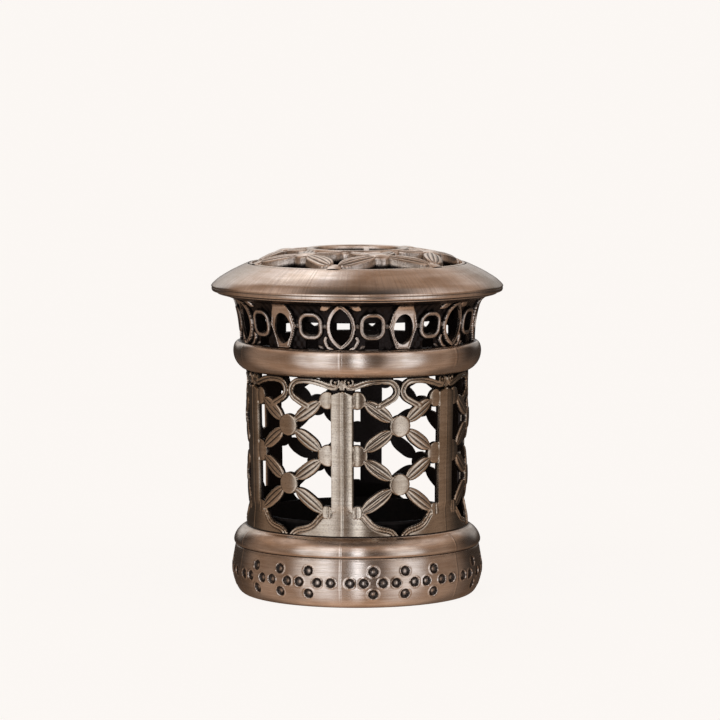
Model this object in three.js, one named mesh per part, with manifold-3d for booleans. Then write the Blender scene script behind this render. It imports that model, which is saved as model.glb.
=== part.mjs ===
// Incense burner: a round lattice-walled burner with a domed lift-off lid and an ash pan inside.
// Millimetres, +Z up, origin at the centre of the underside. Angles run from -Y towards +X.
import * as THREE from "three";
import { mergeVertices } from "three/addons/utils/BufferGeometryUtils.js";
import Module from "manifold-3d";

const wasm = await Module();
wasm.setup();

// ---- driving dimensions -------------------------------------------------------------------
const GAP = 0.3; // between pieces that touch
const FACETS = 36; // flats in a full turn
const PANELS = 6; // lattice panels, which meet at the middles of the pillars
const PANEL_TURN = 360 / PANELS;

const FOOT_RADIUS = 29.6;
const BAND_RADIUS = 32.85;
const BAND_TOP = 12.9;
const MOULDING_TOP = 18.2;
const SHELF_TOP = 13.0; // the ledge that carries the ash pan
const SHELF_RADIUS = 22.0;
const PLATE_UNDERSIDE = 1.6;
const PLATE_THICKNESS = 1.2;
const PLATE_RADIUS = 26.7;
const SCREWS = 3;
const BOSS_PLACE = 24.6; // radius of the circle of screw bosses
const BOSS_RADIUS = 2.8;
const SCREW_RADIUS = 1.1;
const SCREW_HEAD_RADIUS = 2.3;

const SLEEVE_INSIDE = 27.5;
const SLEEVE_OUTSIDE = 28.8;
const SLEEVE_TOP = 58.6;
const PILLAR_HALF = 2.85; // half the width of a pillar
const PILLAR_PROUD = 0.4;
const ROW_PITCH = 7.55; // height between one row of studs and the next
const LOWEST_ROW = 23.85; // height of the lowest row, which is at the pillars
const STUD_RADIUS = 2.9;
const STUD_PROUD = 0.7;
const LATTICE_HALF = 11.3; // from a panel's middle to the half studs at its pillars
const LEAF_HALF = 1.7; // half the width of a leaf between two studs

const WAIST_RADIUS = 32.45;
const WAIST_TOP = 66.4;
const GALLERY_INSIDE = 29.1;
const GALLERY_MIDDLE = 72.3; // height of the middle of the gallery's holes
const GALLERY_TURN = 15; // from one gallery ornament to the next
const SEAT_TOP = 79.4; // the flange that the lid rests on
const SEAT_RADIUS = 36.8;

const RIM_RADIUS = 38.2;
const RIM_HEIGHT = 80.7;
const ROSETTE_RADIUS = 28.4; // where the rosette meets the lid's smooth ring
const CROWN_HOLE = 11.2; // radius of the hole in the middle of the lid
const CROWN_TOP = 90.6;
const SKIRT_BOTTOM = 73.0;
const SKIRT_OUTSIDE = 28.8;
const SKIRT_WALL = 1.4;
const LID_UNDERSIDE = 84.0;
const ROSETTE_SET = -5; // how far the lid is turned against the body, degrees

const PAN_RADIUS = 26.3;
const PAN_RIM = 21.5;
const PAN_BOTTOM = 4.5;
const PAN_WALL = 0.9;
const WELL_RADIUS = 21.3;
const MAT_RADIUS = 19.2;
const MAT_THICKNESS = 1.5;
const HOLDER_RADIUS = 7.0;
const HOLDER_HEIGHT = 5.0;
const STICK_RADIUS = 1.1;

// ---- colours ------------------------------------------------------------------------------
const finish = (color, roughness, metalness) =>
  new THREE.MeshStandardMaterial({ color, roughness, metalness });
const BRONZE = finish(0xa98a6c, 0.38, 1.0);
const DARK_BRONZE = finish(0x8d7059, 0.45, 1.0);
const BLACK_STEEL = finish(0x1f1c1b, 0.6, 0.6);
const STEEL = finish(0x8f8c88, 0.35, 1.0);
const FIBRE = finish(0xd9d4c8, 0.95, 0.0);
const BRASS = finish(0xc09a4e, 0.35, 1.0);

// ---- solids -------------------------------------------------------------------------------
const radians = THREE.MathUtils.degToRad;
const turned = (angle) => new THREE.Matrix4().makeRotationZ(radians(angle));
const moved = (x, y, z) => new THREE.Matrix4().makeTranslation(x, y, z);

// A closed geometry as a solid, placed by a matrix and facing outwards.
function solid(geometry, placing = new THREE.Matrix4()) {
  const bare = geometry.index ? geometry.toNonIndexed() : geometry;
  const points = new THREE.BufferGeometry()
    .setAttribute("position", bare.getAttribute("position").clone())
    .applyMatrix4(placing);
  const merged = mergeVertices(points, 1e-4);
  const triVerts = new Uint32Array(merged.index.array);
  const vertProperties = merged.attributes.position.array;
  const make = () => new wasm.Manifold(new wasm.Mesh({ numProp: 3, vertProperties, triVerts }));
  const made = make();
  if (made.volume() > 0) return made;
  for (let i = 0; i < triVerts.length; i += 3)
    [triVerts[i + 1], triVerts[i + 2]] = [triVerts[i + 2], triVerts[i + 1]];
  return make();
}

const join = (solids) => solids.reduce((a, b) => a.add(b));
const cut = (from, solids) => solids.reduce((a, b) => a.subtract(b), from);

// A body of revolution about Z from a closed loop of [radius, height] points.
function revolved(loop, facets = FACETS) {
  const profile = [...loop, loop[0]].map(([r, z]) => new THREE.Vector2(r, z));
  return solid(new THREE.LatheGeometry(profile, facets), turnedUp);
}
const turnedUp = new THREE.Matrix4().makeRotationX(Math.PI / 2);

// An upright cylinder from one height to another.
function post(radius, from, to, x = 0, y = 0, sides = 16) {
  const geometry = new THREE.CylinderGeometry(radius, radius, to - from, sides);
  return solid(geometry, moved(x, y, (from + to) / 2).multiply(turnedUp));
}

// A shape drawn in X and Z, pushed through the wall on the -Y side between two distances from
// the axis, and then turned about the axis.
function pushed(shape, near, far, angle = 0) {
  const geometry = new THREE.ExtrudeGeometry(shape, {
    depth: far - near,
    bevelEnabled: false,
    curveSegments: 4,
  });
  return solid(geometry, turned(angle).multiply(moved(0, -near, 0)).multiply(turnedUp));
}

// A shape drawn in X and Y, standing between two heights.
function standing(shape, from, to) {
  const geometry = new THREE.ExtrudeGeometry(shape, {
    depth: to - from,
    bevelEnabled: false,
    curveSegments: 4,
  });
  return solid(geometry, moved(0, 0, from));
}

const outline = (points) => new THREE.Shape(points.map(([x, y]) => new THREE.Vector2(x, y)));

// A disc, or a regular polygon, or an oval of two half widths.
function oval(x, y, halfWidth, halfHeight = halfWidth, sides = 10) {
  const points = [];
  for (let i = 0; i < sides; i++) {
    const a = ((i + 0.5) / sides) * 2 * Math.PI;
    points.push([x + halfWidth * Math.cos(a), y + halfHeight * Math.sin(a)]);
  }
  return outline(points);
}

// A leaf: a long hexagon between two points, widest in the middle.
function leaf([ax, ay], [bx, by], half) {
  const at = (along, aside) => [
    ax + (bx - ax) * along - ((by - ay) * aside) / length,
    ay + (by - ay) * along + ((bx - ax) * aside) / length,
  ];
  const length = Math.hypot(bx - ax, by - ay);
  const narrow = 0.6 * half;
  const side = (sign) => [at(0.12, sign * narrow), at(0.5, sign * half), at(0.88, sign * narrow)];
  return outline([...side(-1), ...side(1).reverse()]);
}

// A ribbon of one width along the curve through some points.
function ribbon(points, width, steps) {
  const curve = new THREE.SplineCurve(points.map(([x, y]) => new THREE.Vector2(x, y)));
  const side = (sign) =>
    Array.from({ length: steps + 1 }, (_, i) => {
      const [at, along] = [curve.getPoint(i / steps), curve.getTangent(i / steps)];
      return [at.x - (sign * along.y * width) / 2, at.y + (sign * along.x * width) / 2];
    });
  return outline([...side(1), ...side(-1).reverse()]);
}

const mirrored = (points) => points.map(([x, y]) => [-x, y]);

// A sector of one panel seen from above, on the -Y side, a little short of its neighbours.
function sector(halfAngle, clearance) {
  const reach = 60;
  const apex = -clearance / 2 / Math.sin(radians(halfAngle));
  const [x, y] = [reach * Math.sin(radians(halfAngle)), -reach * Math.cos(radians(halfAngle))];
  return outline([
    [0, apex],
    [x, y + apex],
    [-x, y + apex],
  ]);
}

const root = new THREE.Group();

function piece(name, body, material, angle = 0) {
  const made = body.getMesh();
  const geometry = new THREE.BufferGeometry()
    .setAttribute("position", new THREE.BufferAttribute(made.vertProperties, 3))
    .setIndex(new THREE.BufferAttribute(made.triVerts, 1));
  geometry.computeVertexNormals();
  const mesh = new THREE.Mesh(geometry, material);
  mesh.name = name;
  mesh.rotation.z = radians(angle);
  root.add(mesh);
}

// ---- base ---------------------------------------------------------------------------------
const bossPlaces = Array.from({ length: SCREWS }, (_, i) => {
  const a = radians(60 + (i * 360) / SCREWS);
  return [BOSS_PLACE * Math.sin(a), -BOSS_PLACE * Math.cos(a)];
});
const PLATE_TOP = PLATE_UNDERSIDE + PLATE_THICKNESS;
const WALL_INSIDE = PLATE_RADIUS + GAP;
const SHELF_UNDERSIDE = SHELF_TOP - 1.6;

function baseRing() {
  const ring = revolved([
    [WALL_INSIDE, 0],
    [FOOT_RADIUS, 0],
    [31.2, 0.9],
    [32.4, 3.0],
    [BAND_RADIUS, 6.6],
    [32.6, 10.2],
    [32.0, BAND_TOP],
    [32.3, 13.5],
    [32.25, 14.5],
    [31.7, 16.0],
    [30.6, 17.3],
    [29.3, MOULDING_TOP],
    [SLEEVE_INSIDE, MOULDING_TOP],
    [SLEEVE_INSIDE, SHELF_TOP],
    [SHELF_RADIUS, SHELF_TOP],
    [SHELF_RADIUS, SHELF_UNDERSIDE],
    [WALL_INSIDE, SHELF_UNDERSIDE],
  ]);
  const boss = ([x, y]) => post(BOSS_RADIUS, PLATE_TOP + GAP, SHELF_UNDERSIDE + 0.5, x, y);
  const bore = ([x, y]) => post(SCREW_RADIUS + GAP, 0, 9.5, x, y, 12);
  return cut(join([ring, ...bossPlaces.map(boss)]), bossPlaces.map(bore));
}

function basePlate() {
  const bore = ([x, y]) => post(SCREW_RADIUS + GAP, 0, 5, x, y, 12);
  const plate = post(PLATE_RADIUS, PLATE_UNDERSIDE, PLATE_TOP, 0, 0, FACETS);
  return cut(plate, bossPlaces.map(bore));
}

function baseScrew([x, y]) {
  const headTop = PLATE_UNDERSIDE - GAP;
  const head = post(SCREW_HEAD_RADIUS, GAP, headTop, x, y);
  const shank = post(SCREW_RADIUS, headTop - 0.1, 9.0, x, y, 12);
  const slot = (angle) =>
    solid(
      new THREE.BoxGeometry(2.8, 0.6, 1.0),
      moved(x, y, GAP).multiply(turned(angle)),
    );
  return cut(join([head, shank]), [slot(0), slot(90)]);
}

// ---- lattice sleeve -----------------------------------------------------------------------
const SLEEVE_BOTTOM = MOULDING_TOP + GAP;
const row = (n) => LOWEST_ROW + n * ROW_PITCH;

// The sleeve's wall as a full ring, swelling a little towards both ends.
function sleeve(proud) {
  return revolved([
    [SLEEVE_INSIDE, SLEEVE_BOTTOM],
    [SLEEVE_OUTSIDE + proud, SLEEVE_BOTTOM],
    [SLEEVE_OUTSIDE - 0.3 + proud, row(0) + 2],
    [SLEEVE_OUTSIDE + proud, row(3)],
    [SLEEVE_OUTSIDE + 0.1 + proud, SLEEVE_TOP],
    [SLEEVE_INSIDE, SLEEVE_TOP],
  ]);
}

// The opening between two pillars: square at the top, an ogee with a cusp at the bottom.
function panelOpening() {
  const edge = SLEEVE_OUTSIDE * Math.sin(radians(30) - PILLAR_HALF / SLEEVE_OUTSIDE);
  const side = [
    [0.5, SLEEVE_BOTTOM + 0.9],
    [1.3, row(0) - 4.2],
    [2.9, row(0) - 3.4],
    [5.8, row(0) - 2.5],
    [7.2, row(0) - 1.6],
    [8.9, row(0) + 0.4],
    [edge, row(0) + 2.6],
    [edge, SLEEVE_TOP - 1],
  ];
  return outline([...side, ...mirrored(side).reverse()]);
}

// Studs at the crossings, leaves between them, and two scrolls that meet under the waist ring.
function latticeMembers() {
  const members = [];
  for (const n of [1, 3]) {
    members.push(oval(0, row(n), STUD_RADIUS));
    for (const sign of [-1, 1])
      for (const next of [n - 1, n + 1])
        members.push(leaf([0, row(n)], [sign * LATTICE_HALF, row(next)], LEAF_HALF));
  }
  for (const n of [0, 2, 4])
    for (const sign of [-1, 1]) members.push(oval(sign * LATTICE_HALF, row(n), STUD_RADIUS));
  const scroll = [
    [11.6, 56.9],
    [8.6, 57.6],
    [5.0, 58.0],
    [1.9, 57.1],
    [0.7, 55.0],
    [2.6, 53.3],
    [6.0, 51.6],
  ];
  members.push(ribbon(scroll, 1.4, 7), ribbon(mirrored(scroll), 1.4, 7));
  return members;
}

function latticePanel() {
  const [near, far] = [SLEEVE_INSIDE - 8, SLEEVE_OUTSIDE + 4];
  const wedge = standing(sector(PANEL_TURN / 2, GAP), 0, 90);
  const wall = sleeve(0).intersect(wedge);
  const frame = wall.subtract(pushed(panelOpening(), near, far));
  const lattice = join(latticeMembers().map((shape) => pushed(shape, near, far))).intersect(wall);
  const betweenPillars = standing(
    sector(PANEL_TURN / 2, 2 * PILLAR_HALF),
    row(0) - 20,
    SLEEVE_TOP,
  );
  const pillars = sleeve(PILLAR_PROUD).intersect(wedge).subtract(betweenPillars);
  const studs = [1, 3].map((n) =>
    pushed(oval(0, row(n), STUD_RADIUS - 0.2), SLEEVE_OUTSIDE - 1.2, SLEEVE_OUTSIDE + STUD_PROUD),
  );
  return join([frame, lattice, pillars, ...studs]);
}

// ---- waist ring and gallery ---------------------------------------------------------------
function waistRing() {
  return revolved([
    [SLEEVE_INSIDE, SLEEVE_TOP + GAP],
    [29.4, SLEEVE_TOP + GAP],
    [30.6, 59.6],
    [31.8, 61.2],
    [WAIST_RADIUS, 63.9],
    [32.1, 65.6],
    [31.3, WAIST_TOP],
    [GALLERY_INSIDE, WAIST_TOP],
    [SLEEVE_INSIDE + 0.5, 63.0],
  ]);
}

const GALLERY_BOTTOM = WAIST_TOP + GAP;

// The gallery's holes: a pointed oval, a round hole over a low gap, and a tall oval.
const pointedHole = outline([
  [0, 67.9],
  [2.2, 70.2],
  [2.8, 72.3],
  [2.2, 74.5],
  [0, 76.5],
  [-2.2, 74.5],
  [-2.8, 72.3],
  [-2.2, 70.2],
]);
const roundHole = oval(0, GALLERY_MIDDLE, 2.3, 2.6, 8);
const tallHole = oval(0, GALLERY_MIDDLE - 0.8, 2.4, 3.8, 8);
const lowGap = outline([
  [-1.85, GALLERY_BOTTOM - 1],
  [1.85, GALLERY_BOTTOM - 1],
  [1.85, 68.7],
  [-1.85, 68.7],
]);
const galleryOrder = [[pointedHole], [roundHole, lowGap], [tallHole], [roundHole, lowGap]];

// The pierced wall that flares out into the seat of the lid.
function galleryCollar() {
  const wall = revolved([
    [GALLERY_INSIDE, GALLERY_BOTTOM],
    [30.7, GALLERY_BOTTOM],
    [30.8, 70.0],
    [31.3, 73.5],
    [32.0, 76.0],
    [33.0, 77.6],
    [35.0, 78.4],
    [SEAT_RADIUS, 79.0],
    [SEAT_RADIUS, SEAT_TOP],
    [30.4, SEAT_TOP],
    [29.9, 76.5],
    [GALLERY_INSIDE + 0.2, 72.0],
  ]);
  const holes = Array.from({ length: 360 / GALLERY_TURN }, (_, i) =>
    galleryOrder[i % galleryOrder.length].map((shape) => pushed(shape, 26, 36, i * GALLERY_TURN)),
  );
  return cut(wall, holes.flat());
}

// ---- lid ----------------------------------------------------------------------------------
function lidRing() {
  return revolved([
    [ROSETTE_RADIUS + GAP, LID_UNDERSIDE],
    [31.5, 82.8],
    [34.8, 81.0],
    [35.6, SEAT_TOP + GAP],
    [37.2, SEAT_TOP + GAP],
    [37.9, 80.0],
    [RIM_RADIUS, RIM_HEIGHT],
    [37.8, 81.4],
    [36.4, 82.7],
    [33.4, 84.4],
    [30.4, 85.9],
    [ROSETTE_RADIUS + GAP, 86.6],
  ]);
}

function lidSkirt() {
  return revolved([
    [SKIRT_OUTSIDE - SKIRT_WALL, SKIRT_BOTTOM],
    [SKIRT_OUTSIDE, SKIRT_BOTTOM],
    [SKIRT_OUTSIDE, LID_UNDERSIDE - GAP],
    [SKIRT_OUTSIDE - SKIRT_WALL, LID_UNDERSIDE - GAP],
  ]);
}

// The shell that the rosette is cut from: a shallow dome with a bead round the crown hole.
function rosetteShell() {
  return revolved([
    [CROWN_HOLE, 88.6],
    [CROWN_HOLE, 90.3],
    [12.2, CROWN_TOP],
    [13.3, 90.2],
    [20.5, 89.3],
    [25.0, 88.0],
    [ROSETTE_RADIUS, 86.5],
    [ROSETTE_RADIUS, 84.3],
    [20.5, 87.2],
  ]);
}

// The crossings of the rosette: six studs half way out, between six nodes at the crown ring
// and six at the outer ring.
function lidRosette() {
  const at = (radius, angle) => [
    radius * Math.sin(radians(angle)),
    -radius * Math.cos(radians(angle)),
  ];
  const [inner, middle, outer] = [13.0, 19.6, 27.4];
  const members = [];
  for (let i = 0; i < PANELS; i++) {
    const here = (i + 0.5) * PANEL_TURN;
    members.push(oval(...at(middle, here), STUD_RADIUS - 0.2));
    for (const side of [-PANEL_TURN / 2, PANEL_TURN / 2])
      for (const [reach, half] of [[inner, 1.3], [outer, 1.5]])
        members.push(leaf(at(middle, here), at(reach, here + side), half));
    members.push(oval(...at(outer, i * PANEL_TURN), 2.6), oval(...at(inner, i * PANEL_TURN), 1.9));
  }
  const rings = [
    [CROWN_HOLE, 13.4],
    [27.2, ROSETTE_RADIUS],
  ].map(([from, to]) =>
    revolved([
      [from, 80],
      [to, 80],
      [to, 95],
      [from, 95],
    ]),
  );
  const lattice = join([...members.map((shape) => standing(shape, 80, 95)), ...rings]);
  return lattice.intersect(rosetteShell());
}

// ---- inside -------------------------------------------------------------------------------
const MAT_BOTTOM = PAN_BOTTOM + PAN_WALL + GAP;
const HOLDER_BOTTOM = MAT_BOTTOM + MAT_THICKNESS + GAP;

// A stepped bowl: its well hangs inside the base and its step rests on the shelf.
function ashPan() {
  const step = SHELF_TOP + GAP;
  return revolved([
    [0, PAN_BOTTOM],
    [WELL_RADIUS - 1.0, PAN_BOTTOM],
    [WELL_RADIUS, PAN_BOTTOM + 1.0],
    [WELL_RADIUS, step],
    [PAN_RADIUS - 0.8, step],
    [PAN_RADIUS - 0.6, PAN_RIM - 1.0],
    [PAN_RADIUS, PAN_RIM - 0.8],
    [PAN_RADIUS, PAN_RIM],
    [PAN_RADIUS - 1.4, PAN_RIM],
    [PAN_RADIUS - 1.7, step + PAN_WALL],
    [WELL_RADIUS - PAN_WALL, step + PAN_WALL],
    [WELL_RADIUS - PAN_WALL - 0.6, PAN_BOTTOM + PAN_WALL],
    [0, PAN_BOTTOM + PAN_WALL],
  ]);
}

const fibreMat = () => post(MAT_RADIUS, MAT_BOTTOM, MAT_BOTTOM + MAT_THICKNESS, 0, 0, FACETS);

// A turned foot with a hole for a stick in a stem that a cone can lean on.
function incenseHolder() {
  const top = HOLDER_BOTTOM + HOLDER_HEIGHT;
  const body = revolved(
    [
      [0, HOLDER_BOTTOM],
      [HOLDER_RADIUS, HOLDER_BOTTOM],
      [HOLDER_RADIUS, HOLDER_BOTTOM + 1.0],
      [3.2, HOLDER_BOTTOM + 1.6],
      [2.4, top - 0.6],
      [1.9, top],
      [0, top],
    ],
    24,
  );
  return body.subtract(post(STICK_RADIUS, HOLDER_BOTTOM + 1.4, top + 1, 0, 0, 12));
}

// ---- assembly -----------------------------------------------------------------------------
piece("base_ring", baseRing(), BRONZE);
piece("base_plate", basePlate(), BLACK_STEEL);
bossPlaces.forEach((place, i) => piece(`base_screw_${i + 1}`, baseScrew(place), STEEL));

const panel = latticePanel();
for (let i = 0; i < PANELS; i++)
  piece(`lattice_panel_${i + 1}`, panel, BRONZE, (i + 0.5) * PANEL_TURN);

piece("waist_ring", waistRing(), BRONZE);
piece("gallery_collar", galleryCollar(), DARK_BRONZE);
piece("lid_ring", lidRing(), BRONZE);
piece("lid_rosette", lidRosette(), DARK_BRONZE, ROSETTE_SET);
piece("lid_skirt", lidSkirt(), BLACK_STEEL);
piece("ash_pan", ashPan(), BLACK_STEEL);
piece("fibre_mat", fibreMat(), FIBRE);
piece("incense_holder", incenseHolder(), BRASS);

export default root;
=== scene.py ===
"""Incense burner: fine cast surfaces, aged bronze, studio light and camera around the CAD frame.

Shapes are worked out in millimetres, and angles run from -Y towards +X, as in the frame.
"""

import math

import bpy
import numpy as np
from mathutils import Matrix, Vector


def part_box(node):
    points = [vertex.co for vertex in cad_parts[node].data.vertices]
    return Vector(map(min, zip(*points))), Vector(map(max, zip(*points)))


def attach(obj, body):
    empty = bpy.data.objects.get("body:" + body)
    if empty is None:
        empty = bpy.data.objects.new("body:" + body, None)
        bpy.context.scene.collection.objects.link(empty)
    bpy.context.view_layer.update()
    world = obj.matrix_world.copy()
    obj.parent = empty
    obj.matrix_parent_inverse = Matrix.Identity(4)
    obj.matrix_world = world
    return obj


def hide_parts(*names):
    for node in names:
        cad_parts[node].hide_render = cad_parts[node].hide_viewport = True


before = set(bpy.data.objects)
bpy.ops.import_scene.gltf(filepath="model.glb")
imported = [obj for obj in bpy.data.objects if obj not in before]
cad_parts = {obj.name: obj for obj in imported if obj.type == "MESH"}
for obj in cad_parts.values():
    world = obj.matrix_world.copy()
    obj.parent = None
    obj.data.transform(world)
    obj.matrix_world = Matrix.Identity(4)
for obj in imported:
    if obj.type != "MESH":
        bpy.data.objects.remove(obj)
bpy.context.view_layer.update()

MM = 0.001
PANELS = 6
PANEL_TURN = 2 * math.pi / PANELS
SLEEVE = 28.8  # radius of the lattice's outer face
LIP = 0.25  # how far pieces reach into the ring above or below them, so that no gap shows


# ---- frame sizes ----
def span(node):
    """Lowest and highest corner of a CAD node, in millimetres."""
    low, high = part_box(node)
    return np.array(low) / MM, np.array(high) / MM


base_top = span("base_ring")[1][2]
base_radius = span("base_ring")[1][0]
waist_low, waist_high = (corner[2] for corner in span("waist_ring"))
waist_radius = span("waist_ring")[1][0]
gallery_low, seat_top = (corner[2] for corner in span("gallery_collar"))
seat_radius = span("gallery_collar")[1][0]
rim_radius = span("lid_ring")[1][0]
crown_top = span("lid_rosette")[1][2]
ROSETTE_EDGE = 28.4  # radius of the rosette
CROWN_HOLE = 11.2  # radius of the round hole in the middle of the rosette


# ---- curves ----
def smooth_line(*points, step=0.3):
    """A Catmull-Rom curve through some points, as closely spaced points."""
    p = np.array(points, float)
    p = np.vstack([2 * p[0] - p[1], p, 2 * p[-1] - p[-2]])
    made = []
    for a, b, c, d in zip(p[:-3], p[1:-2], p[2:-1], p[3:]):
        count = max(2, int(np.linalg.norm(c - b) / step))
        t = np.linspace(0, 1, count, endpoint=False)[:, None]
        bend, twist = 2 * a - 5 * b + 4 * c - d, 3 * b - a - 3 * c + d
        made.append(0.5 * (2 * b + (c - a) * t + bend * t**2 + twist * t**3))
    made.append(p[-2:-1])
    return np.vstack(made)


def closed_loop(outer, inner, step=0.3):
    """A closed loop of points: an outer line going up, then straight edges going down inside."""
    line = np.vstack([outer, inner])
    made = []
    for a, b in zip(line, np.roll(line, -1, axis=0)):
        pieces = max(1, int(math.ceil(np.linalg.norm(b - a) / step)))
        made.append(a + (b - a) * (np.arange(pieces) / pieces)[:, None])
    return np.vstack(made)


def bump_step(x, low, high):
    """0 below low, 1 above high, smooth between."""
    t = np.clip((x - low) / (high - low), 0, 1)
    return t * t * (3 - 2 * t)


def ridge(x, at, width):
    """1 where x is at, and dying away on both sides."""
    return np.exp(-(((x - at) / width) ** 2))


def crown(off, size):
    """1 in the middle, 0 at a distance of size and beyond, and round between."""
    return np.clip(1 - (off / size) ** 2, 0, 1)


# ---- flat patterns: each returns how far inside its outline a point is, in millimetres ----
def along_aside(x, y, start, end):
    """Distances along and aside of the line between two points, from its middle."""
    (ax, ay), (bx, by) = start, end
    length = math.hypot(bx - ax, by - ay)
    ux, uy = (bx - ax) / length, (by - ay) / length
    x, y = x - (ax + bx) / 2, y - (ay + by) / 2
    return x * ux + y * uy, y * ux - x * uy, length


def lens(x, y, start, end, half):
    """A pointed oval between two arcs, from start to end."""
    along, aside, length = along_aside(x, y, start, end)
    radius = (length**2 / 4 + half**2) / (2 * half)
    return radius - np.hypot(along, np.abs(aside) + radius - half)


def leaf(x, y, start, end, half):
    """A fuller leaf from start to end, and where a point is across it, from -1 to 1."""
    along, aside, length = along_aside(x, y, start, end)
    t = np.abs(2 * along / length)
    width = half * np.maximum(1 - t**2.8, 0) ** 0.7
    inside = np.where(t < 1, (width - np.abs(aside)) * 0.85, -np.hypot((t - 1) * length / 2, aside))
    return inside, np.clip(aside / np.maximum(width, 0.15), -1, 1)


def from_line(x, y, line):
    """Distance to a line of points."""
    best = np.full(x.shape, 1e9)
    for (ax, ay), (bx, by) in zip(line[:-1], line[1:]):
        dx, dy = bx - ax, by - ay
        t = np.clip(((x - ax) * dx + (y - ay) * dy) / max(dx * dx + dy * dy, 1e-9), 0, 1)
        best = np.minimum(best, np.hypot(x - ax - t * dx, y - ay - t * dy))
    return best


def rounded_box(x, y, half_x, half_y, corner):
    """A rectangle with rounded corners about the origin."""
    qx, qy = np.abs(x) - half_x + corner, np.abs(y) - half_y + corner
    outside = np.hypot(np.maximum(qx, 0), np.maximum(qy, 0))
    return corner - outside - np.minimum(np.maximum(qx, qy), 0)


def polygon(x, y, corners):
    """A convex polygon given anticlockwise."""
    best = np.full(x.shape, 1e9)
    for (ax, ay), (bx, by) in zip(corners, corners[1:] + corners[:1]):
        length = math.hypot(bx - ax, by - ay)
        best = np.minimum(best, ((bx - ax) * (y - ay) - (by - ay) * (x - ax)) / length)
    return best


# ---- relief: what stands on a wall, how it is worn, and where shade is painted on it ----
EDGE = 0.42  # radius of the soft cast edges


class Relief:
    """Builds a wall's outline, height and darkness from overlapping ornaments: patina, painted shade and
    painted glints.
    """

    def __init__(self, shape):
        self.inside = np.full(shape, -1e3)
        self.height = np.full(shape, -1e3)
        self.dark = np.zeros(shape)

    def put(self, inside, height, edge=EDGE, dark=0.0):
        """Adds an ornament: its outline, its height, rounded off along its edge, and its darkness: patina,
        painted shade and painted glints.
        """
        dip = np.clip(edge - inside, 0, edge)
        lowered = height - edge + np.sqrt(np.maximum(edge**2 - dip**2, 0))
        over = (inside > 0) & (lowered > self.height)
        self.height = np.where(over, lowered, self.height)
        self.dark = np.where(over, dark, self.dark)
        self.inside = np.maximum(self.inside, inside)

    def dig(self, inside):
        """Cuts an opening."""
        self.inside = np.minimum(self.inside, -inside)

    def settle(self, floor):
        """Gives the points outside the outline a height, and returns all heights."""
        self.height = np.where(self.height < -100, floor, self.height)
        return self.height


def blurred(values, passes, wrap):
    """A grid blurred by small steps, along both directions."""
    v = values.copy()
    for _ in range(passes):
        for axis in (0, 1):
            ahead, behind = np.roll(v, -1, axis), np.roll(v, 1, axis)
            if axis == 1 or not wrap:
                edge = [slice(None)] * 2
                edge[axis] = -1
                ahead[tuple(edge)] = v[tuple(edge)]
                edge[axis] = 0
                behind[tuple(edge)] = v[tuple(edge)]
            v = 0.5 * v + 0.25 * (ahead + behind)
    return v


def patina_and_shade_of(relief, wrap, depth=0.4):
    """The ornaments' own darkness, patina with painted shade, and dark where the surface lies lower than
    what is around it.
    """
    dark_share = (blurred(relief.height, 12, wrap) - relief.height) / depth
    return np.maximum(relief.dark, np.clip(dark_share, 0, 1) * 0.9)


# ---- meshes ----
def round_angles(columns):
    """Equal angles round the axis, as a column."""
    return (np.arange(columns) * 2 * math.pi / columns)[:, None]


def turn(points, angle):
    """Points turned about the axis, from -Y towards +X."""
    c, s = math.cos(angle), math.sin(angle)
    x, y, z = points[..., 0], points[..., 1], points[..., 2]
    return np.stack([x * c - y * s, x * s + y * c, z], axis=-1)


def round_axis(radius, angle, height):
    """Points at a radius, an angle and a height."""
    radius, angle, height = np.broadcast_arrays(radius, angle, height)
    return np.stack([radius * np.sin(angle), -radius * np.cos(angle), height], axis=-1)


def build_mesh(name, points, faces, dark, sharp=40):
    """A mesh from points in millimetres and faces of three or more corners."""
    mesh = bpy.data.meshes.new(name)
    sizes = np.array([len(f) for f in faces])
    loops = np.concatenate([np.asarray(f, np.int32) for f in faces])
    mesh.vertices.add(len(points))
    mesh.vertices.foreach_set("co", (np.asarray(points) * MM).astype(np.float32).ravel())
    mesh.loops.add(len(loops))
    mesh.loops.foreach_set("vertex_index", loops)
    mesh.polygons.add(len(faces))
    mesh.polygons.foreach_set("loop_start", (np.cumsum(sizes) - sizes).astype(np.int32))
    mesh.update(calc_edges=True)
    mesh.validate()
    # How dark each point is: patina, painted shade and painted glints.
    darkening = mesh.attributes.new("patina_and_shade", "FLOAT", "POINT")
    darkening.data.foreach_set("value", np.asarray(dark, np.float32))
    mesh.shade_smooth()
    mesh.set_sharp_from_angle(angle=math.radians(sharp))
    return mesh


def quads(index, wrap_rows):
    """The faces of a grid of vertex numbers, which closes on itself along its columns."""
    a, b = index, np.roll(index, -1, axis=0)
    if wrap_rows:
        c, d = np.roll(b, -1, axis=1), np.roll(a, -1, axis=1)
    else:
        a, b, c, d = a[:, :-1], b[:, :-1], b[:, 1:], a[:, 1:]
    return np.stack([a, b, c, d], axis=-1).reshape(-1, 4)


def lathe_mesh(name, loop, columns, relief, dark):
    """A ring turned from a closed loop of (radius, height), raised along its normals by relief."""
    along = np.roll(loop, -1, axis=0) - np.roll(loop, 1, axis=0)
    along /= np.maximum(np.linalg.norm(along, axis=1), 1e-9)[:, None]
    normal = np.stack([along[:, 1], -along[:, 0]], axis=1)
    radius = loop[None, :, 0] + normal[None, :, 0] * relief
    height = loop[None, :, 1] + normal[None, :, 1] * relief
    points = round_axis(radius, round_angles(columns), height).reshape(-1, 3)
    index = np.arange(columns * len(loop)).reshape(columns, len(loop))
    dark = np.broadcast_to(dark, index.shape).ravel()
    return build_mesh(name, points, list(quads(index, True)), dark)


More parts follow.
